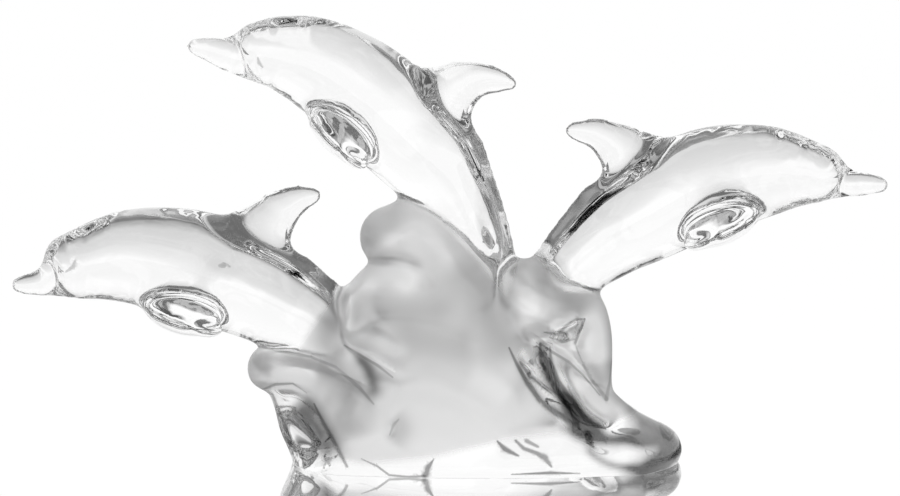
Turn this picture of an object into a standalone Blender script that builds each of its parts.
"""Figurine cast in one piece of crystal: three dolphins leap from a breaking wave.

Every limb is a tapered tube: a curve whose points carry a radius, flattened across its own plane.
A body's back is drawn up into a keel over the brow and behind the fin. The tubes are gathered into
one mesh, which a voxel remesh melts together as glass in a mould does. The wave's two faces are then
calmed and carved with strokes, which push the skin out or in along a line, and the foot is ground flat.
Stations are (x, z, radius) in units of the drawing, and the model is in metres with +Z up.
"""
import math

import bmesh
import bpy
import numpy as np
from mathutils import Matrix, Vector

LENGTH = 0.250  # between the tips of the outer beaks
UNIT = LENGTH / 250  # one unit of the drawing, which is a millimetre at this length

# The three dolphins
BODY_FLATNESS = 0.92  # a body's width over its height
BEAK_FLATNESS = 0.95
FIN_FLATNESS = 0.42
KEEL_START, KEEL_FULL = -0.05, 0.8  # in radii from a body's middle line towards its back
KEEL_PINCH = 0.78  # how much of a body's width a full keel takes away
FLIPPER_LENGTH = 16.0  # in units of the drawing
FLIPPER_CHORD = 24.0  # in units of the drawing
FLIPPER_FLATNESS = 0.50
FLIPPER_DROOP = math.radians(6)
FLIPPER_SWEEP = math.radians(10)
# A flipper's stations: x as a share of its length, then z and the radius as shares of half its chord
FLIPPER_FORM = [(-0.35, 0.10, 0.95), (0.10, 0.0, 0.95), (0.45, -0.08, 0.76), (0.75, -0.25, 0.50)]
NEAR, FAR = -1, 1

# The wave and its foot
FOOT_LENGTH = 112.0 * UNIT
FOOT_DEPTH = 57.0 * UNIT
FOOT_HEIGHT = 24.0 * UNIT  # before it is ground
FOOT_CENTRE = Vector((10.5, 0.0, 3.0)) * UNIT
FOOT_SQUARENESS = 2.6  # 2 is an ellipse, and more is squarer
FACING = 0.35  # how squarely a face must look to the front or the back to be carved in full
STROKE_STEPS = 8  # points between two stations of a stroke
STROKE_TAPER = 0.22  # of a stroke's length, at either end

# The faceted skin
MELT_VOXEL = 1.2 * UNIT
POLISH_STEPS = 6  # before the carving
CALM_STEPS = 110
SOFTEN_STEPS = 2  # after the carving
FACET_SHARE = 0.12  # of the melted skin's faces that are kept
RING_STEPS = 12  # a tube has four more sides than twice this
SPAN_STEPS = 5  # rings between two stations of a tube


def clear_scene():
    for obj in list(bpy.data.objects):
        bpy.data.objects.remove(obj, do_unlink=True)


def new_collection(name):
    collection = bpy.data.collections.new(name)
    bpy.context.scene.collection.children.link(collection)
    return collection


def crystal():
    """Clear lead glass, which is the whole figurine."""
    material = bpy.data.materials.new("crystal")
    material.use_nodes = True
    shader = material.node_tree.nodes["Principled BSDF"]
    shader.inputs["Base Color"].default_value = (0.93, 0.94, 0.95, 1.0)
    shader.inputs["Roughness"].default_value = 0.04
    shader.inputs["Metallic"].default_value = 0.0
    shader.inputs["Transmission Weight"].default_value = 0.9
    shader.inputs["IOR"].default_value = 1.54
    return material


def through(knots, steps):
    """Points on one smooth line through the knots, each an (x, y, z, radius)."""
    first, last = 2 * knots[0] - knots[1], 2 * knots[-1] - knots[-2]
    padded = [first, *knots, last]
    points = []
    for a, b, c, d in zip(padded, padded[1:], padded[2:], padded[3:]):
        for step in range(steps):
            t = step / steps
            points.append(
                0.5 * (2 * b + (c - a) * t + (2 * a - 5 * b + 4 * c - d) * t * t
                       + (3 * b - a - 3 * c + d) * t ** 3)
            )
    points.append(knots[-1])
    return points


def round_end(last, inner):
    """Points that close a tube with half a ball past its last point."""
    way = (last.xyz - inner.xyz).normalized()
    turns = [math.radians(angle) for angle in (25, 48, 66, 80, 88)]
    return [
        Vector((*(last.xyz + way * last.w * math.sin(turn)), last.w * math.cos(turn)))
        for turn in turns
    ]


def smooth_rise(value):
    """0 below nothing, 1 above one, and a smooth curve between."""
    value = np.clip(value, 0, 1)
    return value * value * (3 - 2 * value)


def draw_up_keel(mesh, points, keel):
    """Pinches the back of a tube that is still in its own plane, by the keel at each station."""
    steps = np.linspace(0, len(keel) - 1, SPAN_STEPS * (len(keel) - 1) + 1)
    ends = (len(points) - len(steps)) // 2
    amounts = np.interp(steps, range(len(keel)), keel)
    amounts = np.concatenate([[keel[0]] * ends, amounts, [keel[-1]] * ends])
    centres = np.array([(point.x, point.z) for point in points])
    radii = np.array([point.w for point in points])
    ways = np.gradient(centres, axis=0)
    ways /= np.hypot(*ways.T)[:, None]
    backs = np.column_stack([-ways[:, 1], ways[:, 0]])
    backs *= np.where(backs[:, 1:] > 0, 1, -1)
    for vert in mesh.vertices:
        off = np.array((vert.co.x, vert.co.z)) / UNIT - centres
        distance = np.hypot(vert.co.y / UNIT, np.hypot(*off.T))
        nearest = np.argmin(np.abs((off * ways).sum(axis=1)) + np.abs(distance - radii))
        height = off[nearest] @ backs[nearest] / radii[nearest]
        share = smooth_rise((height - KEEL_START) / (KEEL_FULL - KEEL_START))
        vert.co.y *= 1 - KEEL_PINCH * amounts[nearest] * share


def tube(stations, flatness, place=Matrix.Identity(4), keel=()):
    """A mesh of the tapered tube through (x, z, radius) stations in the XZ plane of its place."""
    points = through([Vector((x, 0.0, z, radius)) for x, z, radius in stations], SPAN_STEPS)
    points = round_end(points[0], points[1])[::-1] + points + round_end(points[-1], points[-2])
    data = bpy.data.curves.new("limb", "CURVE")
    data.dimensions = "3D"
    data.bevel_depth = UNIT
    data.bevel_resolution = RING_STEPS
    data.use_fill_caps = True
    spline = data.splines.new("POLY")
    spline.points.add(len(points) - 1)
    for point, made in zip(spline.points, points):
        point.co = (*(made.xyz * UNIT), 1.0)
        point.radius = made.w
    limb = bpy.data.objects.new("limb", data)
    bpy.context.scene.collection.objects.link(limb)
    mesh = evaluated_mesh(limb)
    bpy.data.objects.remove(limb)
    if keel:
        draw_up_keel(mesh, points, keel)
    mesh.transform(place @ Matrix.Diagonal((1.0, flatness, 1.0, 1.0)))
    shell = bmesh.new()
    shell.from_mesh(mesh)
    bmesh.ops.remove_doubles(shell, verts=shell.verts, dist=0.01 * UNIT)
    bmesh.ops.recalc_face_normals(shell, faces=shell.faces)
    shell.to_mesh(mesh)
    shell.free()
    return mesh


def gathered(name, meshes, collection):
    """One object that holds the shells of all these meshes."""
    shells = bmesh.new()
    for mesh in meshes:
        shells.from_mesh(mesh)
    data = bpy.data.meshes.new(name)
    shells.to_mesh(data)
    shells.free()
    obj = bpy.data.objects.new(name, data)
    collection.objects.link(obj)
    return obj


def evaluated_mesh(obj):
    """The mesh that an object's modifiers make."""
    evaluated = obj.evaluated_get(bpy.context.evaluated_depsgraph_get())
    return bpy.data.meshes.new_from_object(evaluated)


def add_softening(obj, name, steps):
    soften = obj.modifiers.new(name, "SMOOTH")
    soften.factor = 0.5
    soften.iterations = steps


def turned_about(x, yaw):
    """The place of a limb's plane, turned by yaw degrees about the upright line at x in the drawing."""
    pivot = Matrix.Translation((x * UNIT, 0.0, 0.0))
    return pivot @ Matrix.Rotation(math.radians(yaw), 4, "Z") @ pivot.inverted()


def flipper_place(root, roll, heading, side, place):
    """The plane of a flipper: its length along local X and its chord along local Z.

    The root is an (x, depth, z) in the body's plane, and heading is the angle in degrees of the way
    to the head there. A roll lowers the near flipper and raises the far one.
    """
    x, depth, z = root
    head = Vector((math.cos(math.radians(heading)), 0.0, math.sin(math.radians(heading))))
    out = Vector((0.0, side, 0.0))
    belly = head.cross(out)
    if belly.z > 0:
        belly.negate()
    length = out * math.cos(FLIPPER_DROOP) + belly * math.sin(FLIPPER_DROOP)
    length = (length * math.cos(FLIPPER_SWEEP) - head * math.sin(FLIPPER_SWEEP)).normalized()
    chord = (head - length * head.dot(length)).normalized()
    turn = Matrix((length, chord.cross(length), chord)).transposed().to_4x4()
    start = Vector((x, side * depth, z + side * roll)) * UNIT
    return place @ Matrix.Translation(start) @ turn


def flippers(root, roll, heading, place):
    """The meshes of a pair of stubby flippers, swept towards the tail."""
    stations = [
        (along * FLIPPER_LENGTH, across * FLIPPER_CHORD / 2, radius * FLIPPER_CHORD / 2)
        for along, across, radius in FLIPPER_FORM
    ]
    return [
        tube(stations, FLIPPER_FLATNESS, flipper_place(root, roll, heading, side, place))
        for side in (NEAR, FAR)
    ]


def dolphin(body, keel, beak, fin, flipper_root, roll, heading, pivot, yaw):
    """The meshes of one dolphin: body, beak, dorsal fin and flippers."""
    place = turned_about(pivot, yaw)
    return [
        tube(body, BODY_FLATNESS, place, keel),
        tube(beak, BEAK_FLATNESS, place),
        tube(fin, FIN_FLATNESS, place),
        *flippers(flipper_root, roll, heading, place),
    ]


def left_dolphin():
    return dolphin(
        body=[(-107, 58, 10.3), (-97, 59.9, 12.7), (-87, 59.9, 14.5), (-76.2, 57.6, 16.2),
              (-60.5, 53.3, 16.1), (-47.5, 46.8, 14.6), (-38.8, 41.2, 12.4), (-28, 31, 9.7),
              (-16, 20, 8)],
        keel=(0.2, 0, 0, 0, 0.7, 1, 1, 0.7, 0),
        beak=[(-108, 53.5, 5.3), (-114, 52.9, 4.5), (-119.5, 52.6, 3.6), (-123.7, 52.2, 2.8)],
        fin=[(-57, 64.4, 11.2), (-50, 71.6, 7.7), (-44, 75.9, 5), (-39.6, 77.1, 3.3)],
        flipper_root=(-76, 10.2, 46),
        roll=1,
        heading=170,
        pivot=-30,
        yaw=4,
    )


def middle_dolphin():
    return dolphin(
        body=[(-54.5, 118.2, 9.5), (-48, 117.9, 11.4), (-38.5, 114.8, 13.5), (-28.2, 108.8, 15),
              (-19.7, 102.3, 15.9), (-11.5, 95.2, 16.1), (-4, 87.2, 15.2), (2.5, 77.5, 11.9),
              (8, 66, 9.9), (11.5, 54, 8.5), (14, 42, 7)],
        keel=(0.3, 0.1, 0, 0, 0.1, 0.7, 1, 1, 1, 0.8, 0),
        beak=[(-58, 115, 5.4), (-64, 117.2, 4.9), (-69, 118.7, 3.9), (-73.3, 119.5, 2.9)],
        fin=[(-5, 102.8, 12.6), (3.5, 108.8, 8), (10.5, 110.5, 5.1), (16.5, 109.5, 3.2)],
        flipper_root=(-30, 10.2, 96),
        roll=1,
        heading=142,
        pivot=10,
        yaw=-3,
    )


def right_dolphin():
    return dolphin(
        body=[(104.5, 84.4, 8.9), (93.5, 85.1, 12.5), (80, 83.3, 15), (69.5, 80, 15.8),
              (59.5, 75.5, 15.6), (49.2, 70.1, 15), (42, 64.5, 13.2), (35, 57.8, 11.3),
              (28, 48, 9.7), (22, 36, 8)],
        keel=(0.2, 0, 0, 0, 0.4, 1, 1, 1, 0.7, 0),
        beak=[(107, 81.4, 5.2), (113, 81.4, 4.4), (118.5, 81.3, 3.5), (122.9, 81.1, 2.7)],
        fin=[(55, 85.6, 11.2), (47.5, 91.3, 8), (41, 95, 5.2), (35.3, 95.8, 3.4)],
        flipper_root=(76.5, 9.7, 72),
        roll=1.5,
        heading=18,
        pivot=25,
        yaw=-4,
    )


def wave():
    """The meshes of the wave's lobes, each with its depth over its height."""
    lobes = {
        "mass": (1.32, [(-20, 10, 16.5), (-2, 14, 20.5), (14, 11, 18.5), (26, 4, 14)]),
        "flank": (1.3, [(26, 2, 15), (15, 18, 17), (5, 32, 16.5), (-3, 44, 14.5), (-8, 54, 12)]),
        "crest": (1.45, [(2, 50, 12.5), (-6, 59.5, 11.6), (-12.5, 65, 10.6), (-17.2, 65.2, 9.2)]),
        "shoulder": (1.6, [(4, 34, 13.5), (-8, 42, 12.5), (-15.5, 46, 10.5), (-20.5, 46.5, 8.5)]),
        "edge": (2.3, [(-18.8, 56.2, 3.9), (-21.5, 53.2, 4.6), (-24.6, 49.4, 5), (-27.4, 45.6, 5),
                       (-26, 41, 5)]),
        "hip": (1.75, [(2, 22, 14), (-12, 29, 11), (-21, 34, 8.5)]),
        "left_curl": (2.5, [(-14, 6, 9), (-25, 15.5, 8.8), (-37, 22, 8.4), (-46, 25.8, 7.9),
                            (-52.5, 27.2, 6.3)]),
        "left_mound": (1.5, [(-8, 8, 15), (-22, 9, 15), (-32, 11, 14)]),
        "left_post": (1.9, [(-34.5, -4, 10), (-37, 6, 10), (-40.5, 14, 10), (-44, 20, 8)]),
        "saddle": (1.45, [(10, 26, 13), (17, 39, 11.5), (21, 49.3, 9.6)]),
        "right_curl": (1.6, [(26, 48, 9), (33, 43.2, 10.8), (37, 36, 9.8), (40.5, 28.5, 6.6),
                             (43.6, 22, 3)]),
        "tongue": (1.9, [(28, 22, 11), (38, 14.5, 10.2), (48, 8.3, 8.4), (59.6, 3.6, 7.1)]),
    }
    return [tube(stations, depth) for depth, stations in lobes.values()]


def foot():
    """The thick foot as a mesh: a ball flattened to a low cushion with a squarish outline."""
    cushion = bmesh.new()
    bmesh.ops.create_uvsphere(cushion, u_segments=64, v_segments=28, radius=1.0)
    for vert in cushion.verts:
        turn = math.atan2(vert.co.y, vert.co.x)
        corner = abs(math.cos(turn)) ** FOOT_SQUARENESS + abs(math.sin(turn)) ** FOOT_SQUARENESS
        vert.co.xy *= corner ** (-1 / FOOT_SQUARENESS)
        vert.co.x *= FOOT_LENGTH / 2
        vert.co.y *= FOOT_DEPTH / 2
        vert.co.z *= FOOT_HEIGHT / 2
        vert.co += FOOT_CENTRE
    mesh = bpy.data.meshes.new("foot")
    cushion.to_mesh(mesh)
    cushion.free()
    return mesh


# The part of the wave's faces that is calmed, as an outline seen from the front
CALM_OUTLINE = [(-30, 4), (-36, 12), (-46, 20), (-52, 24), (-52, 30), (-40, 29), (-30, 34), (-30, 48),
                (-24, 54), (-21, 62), (-10, 70), (0, 62), (8, 50), (14, 42), (22, 52), (30, 44),
                (40, 40), (40, 26), (36, 14), (28, 6), (0, 3.5)]
# Strokes: how far out, the widths on the left and on the right of the line, and the line
STROKES = {
    "crest_ridge": (2.4, 5, 5, [(-20, 63), (-15, 68), (-8, 67.5), (-2, 62.5), (3, 55), (8, 46)]),
    "crest_valley": (-2.6, 2.6, 2.6, [(-27, 60), (-19, 60), (-12, 59.3), (-7, 56), (-5, 49)]),
    "sheet_crown": (2.2, 5, 5, [(-32, 50.5), (-22, 51), (-13, 51.5), (-7, 53), (0, 50)]),
    "sheet_valley": (-2.6, 4.6, 4.6, [(-34, 43), (-22, 43.5), (-12, 43), (-2, 40.5), (8, 35.5), (16, 28)]),
    "lip": (3.0, 4.5, 1.6, [(-29, 51), (-28.3, 45), (-30, 39.5), (-28.5, 36.3), (-22, 33.3), (-16, 29.5),
                            (-13, 25)]),
    "lower_ridge": (2.2, 3.8, 3.8, [(-28, 36), (-18, 35.5), (-8, 33), (4, 28.5), (14, 21.5), (26, 12)]),
    "mid_dip": (-1.4, 3.6, 3.6, [(-14, 29), (-4, 26), (6, 20.5), (14, 14), (22, 9)]),
    "low_swell": (1.6, 4, 4, [(-16, 22), (-4, 19), (8, 13), (16, 8)]),
    "belly_valley": (-2.6, 4.2, 4.2, [(3, 66), (9, 57), (14, 48), (18, 40), (20, 34)]),
    "soft_dip": (-2.2, 5, 5, [(-35, 22), (-29, 18), (-24, 13), (-20, 10)]),
    "curl_lip": (2.2, 1.6, 4, [(-56, 30.5), (-46, 32), (-37, 30.2), (-30, 26.8), (-25, 22.6), (-20.5, 16.5)]),
    "wedge": (-3.0, 2.4, 2.4, [(-36, 35), (-29, 30), (-24.5, 26), (-21.5, 19.5)]),
    "crease": (-0.7, 1.3, 1.3, [(-16, 30), (-15.5, 24), (-17, 17), (-16.5, 12)]),
    "drip": (1.0, 1.1, 1.1, [(-17.8, 10.5), (-16.6, 13), (-15.6, 15.5)]),
    "curl_under": (-1.6, 1.8, 1.8, [(-57, 22.5), (-50, 23.5), (-44, 23.5), (-39, 20), (-36, 14)]),
    "hollow": (-6.0, 6, 6, [(-50, 20), (-44, 13), (-39, 7), (-35, 1)]),
    "bulge": (2.0, 5, 5, [(21, 46), (23, 50), (25, 54)]),
    "flap_edge": (3.0, 4, 1.4, [(19, 41.5), (25, 38), (30, 36), (34.5, 33), (40, 27), (46, 19)]),
    "flap_fold": (1.4, 1.3, 1.3, [(38.5, 43.5), (36.5, 39), (35.5, 34.5)]),
    "notch": (-3.6, 1.8, 1.8, [(28, 39.2), (33, 41), (37.5, 43.8)]),
    "trough": (-5.0, 2.6, 2.6, [(25, 39), (27, 32), (30, 24), (35, 16), (41, 12), (48, 9)]),
    "rib": (2.4, 3, 3, [(31, 34), (34.5, 27), (40, 18), (47, 12.5)]),
    "eye": (-3.0, 1.7, 1.7, [(19.5, 34), (23.5, 28), (29, 21.5), (35, 16.5)]),
    "rim_mark": (-0.8, 1.2, 1.2, [(12.5, 10.5), (16, 7.5), (20, 5.5)]),
    "rim_line": (-0.8, 1.2, 1.2, [(18, 9.5), (24, 7.6), (27, 5.4), (29, 2)]),
    "rim_curve": (-0.8, 1.2, 1.2, [(-27, 6), (-22, 3.2), (-16, 1.6), (-9, 1.6), (-5.5, 5)]),
    "left_neck": (-2.0, 1.7, 1.7, [(-115, 61), (-112.5, 56), (-112.6, 51.5), (-114, 48)]),
    "middle_neck": (-2.0, 1.7, 1.7, [(-63.5, 124.5), (-60.5, 120), (-58.8, 115.5), (-58.5, 110)]),
    "right_neck": (-2.0, 1.7, 1.7, [(115, 88), (111.5, 83.5), (110.4, 79.5), (110.5, 75.5)]),
    "left_blowhole": (-1.8, 2.2, 2.2, [(-106, 65.5), (-101, 68.5), (-97, 70)]),
    "middle_blowhole": (-1.8, 2.2, 2.2, [(-52, 125), (-46, 126), (-40, 125.5)]),
    "right_blowhole": (-1.8, 2.2, 2.2, [(104, 92.5), (98, 94.5), (92, 95.5)]),
    "left_mouth": (-0.7, 0.9, 0.9, [(-105.5, 55.5), (-108, 59), (-110, 60)]),
    "middle_mouth": (-0.7, 0.9, 0.9, [(-53.5, 113.5), (-55.5, 116), (-57.5, 118.5)]),
}


def inside(points, outline):
    """Which (x, z) points lie inside a closed outline."""
    found = np.zeros(len(points), bool)
    for (ax, az), (bx, bz) in zip(outline, [*outline[1:], outline[0]]):
        crosses = (az > points[:, 1]) != (bz > points[:, 1])
        slope = (bx - ax) / (bz - az if bz != az else 1)
        found ^= crosses & (points[:, 0] < ax + slope * (points[:, 1] - az))
    return found


def pushed_out(points, stroke):
    """How far a stroke pushes each (x, z) point out, in units of the drawing."""
    height, left, right, stations = stroke
    knots = [Vector((x, 0.0, z, 0.0)) for x, z in stations]
    line = np.array(through(knots, STROKE_STEPS))[:, [0, 2]]
    nearest = np.full(len(points), np.inf)
    offset = np.zeros(len(points))
    share = np.zeros(len(points))
    for step, (a, b) in enumerate(zip(line, line[1:])):
        way = b - a
        along = np.clip(((points - a) @ way) / (way @ way), 0, 1)
        gap = points - a - along[:, None] * way
        distance = np.hypot(*gap.T)
        closer = distance < nearest
        on_left = way[0] * gap[:, 1] - way[1] * gap[:, 0] > 0
        nearest[closer] = distance[closer]
        offset[closer] = (distance / np.where(on_left, left, right))[closer]
        share[closer] = (step + along[closer]) / (len(line) - 1)
    taper = smooth_rise(share / STROKE_TAPER) * smooth_rise((1 - share) / STROKE_TAPER)
    return height * taper * np.exp(-offset ** 2)


def calmed_and_carved(mesh):
    """The mesh after its two faces are calmed and then carved with the strokes."""
    skin = bmesh.new()
    skin.from_mesh(mesh)
    skin.normal_update()
    co = np.array([vert.co for vert in skin.verts])
    lean = np.array([vert.normal.y for vert in skin.verts])
    chosen = inside(co[:, [0, 2]] / UNIT, CALM_OUTLINE) & (np.abs(lean) > FACING)
    calm = [vert for vert, taken in zip(skin.verts, chosen) if taken]
    for _ in range(CALM_STEPS):
        bmesh.ops.smooth_vert(skin, verts=calm, factor=0.5, use_axis_y=True)
    skin.normal_update()
    co = np.array([vert.co for vert in skin.verts])
    lean = np.array([vert.normal.y for vert in skin.verts])
    out = sum(pushed_out(co[:, [0, 2]] / UNIT, stroke) for stroke in STROKES.values())
    co[:, 1] += np.sign(lean) * smooth_rise(np.abs(lean) / FACING) * out * UNIT
    for vert, place in zip(skin.verts, co):
        vert.co = place
    skin.to_mesh(mesh)
    skin.free()
    return mesh


def ground_slab(collection):
    """A block below the ground line, which grinds the foot flat."""
    size = FOOT_LENGTH * 2
    bpy.ops.mesh.primitive_cube_add(size=size, location=(0.0, 0.0, -size / 2))
    slab = bpy.context.object
    slab.name = "ground_slab"
    for owner in slab.users_collection:
        owner.objects.unlink(slab)
    collection.objects.link(slab)
    return slab


def centre(figurine, collections):
    """Moves everything so that the figurine's box is centred on the origin, above the ground."""
    evaluated = figurine.evaluated_get(bpy.context.evaluated_depsgraph_get())
    corners = [Vector(corner) for corner in evaluated.bound_box]
    middle = sum(corners, Vector()) / len(corners)
    for collection in collections:
        for obj in collection.objects:
            obj.location.x -= middle.x
            obj.location.y -= middle.y


def main():
    clear_scene()
    casting = new_collection("dolphin_figurine")
    cutters = new_collection("cutters")
    limbs = [*left_dolphin(), *middle_dolphin(), *right_dolphin(), *wave(), foot()]

    clay = gathered("clay", limbs, cutters)
    clay.hide_render = True
    melt = clay.modifiers.new("melt", "REMESH")
    melt.mode = "VOXEL"
    melt.voxel_size = MELT_VOXEL
    add_softening(clay, "polish", POLISH_STEPS)

    figurine = gathered("dolphin_figurine", [calmed_and_carved(evaluated_mesh(clay))], casting)
    figurine.data.materials.append(crystal())
    add_softening(figurine, "soften", SOFTEN_STEPS)
    facets = figurine.modifiers.new("facets", "DECIMATE")
    facets.ratio = FACET_SHARE
    slab = ground_slab(cutters)
    slab.hide_render = True
    slab.display_type = "WIRE"
    grind = figurine.modifiers.new("grind", "BOOLEAN")
    grind.operation = "DIFFERENCE"
    grind.object = slab
    centre(figurine, [casting, cutters])


main()
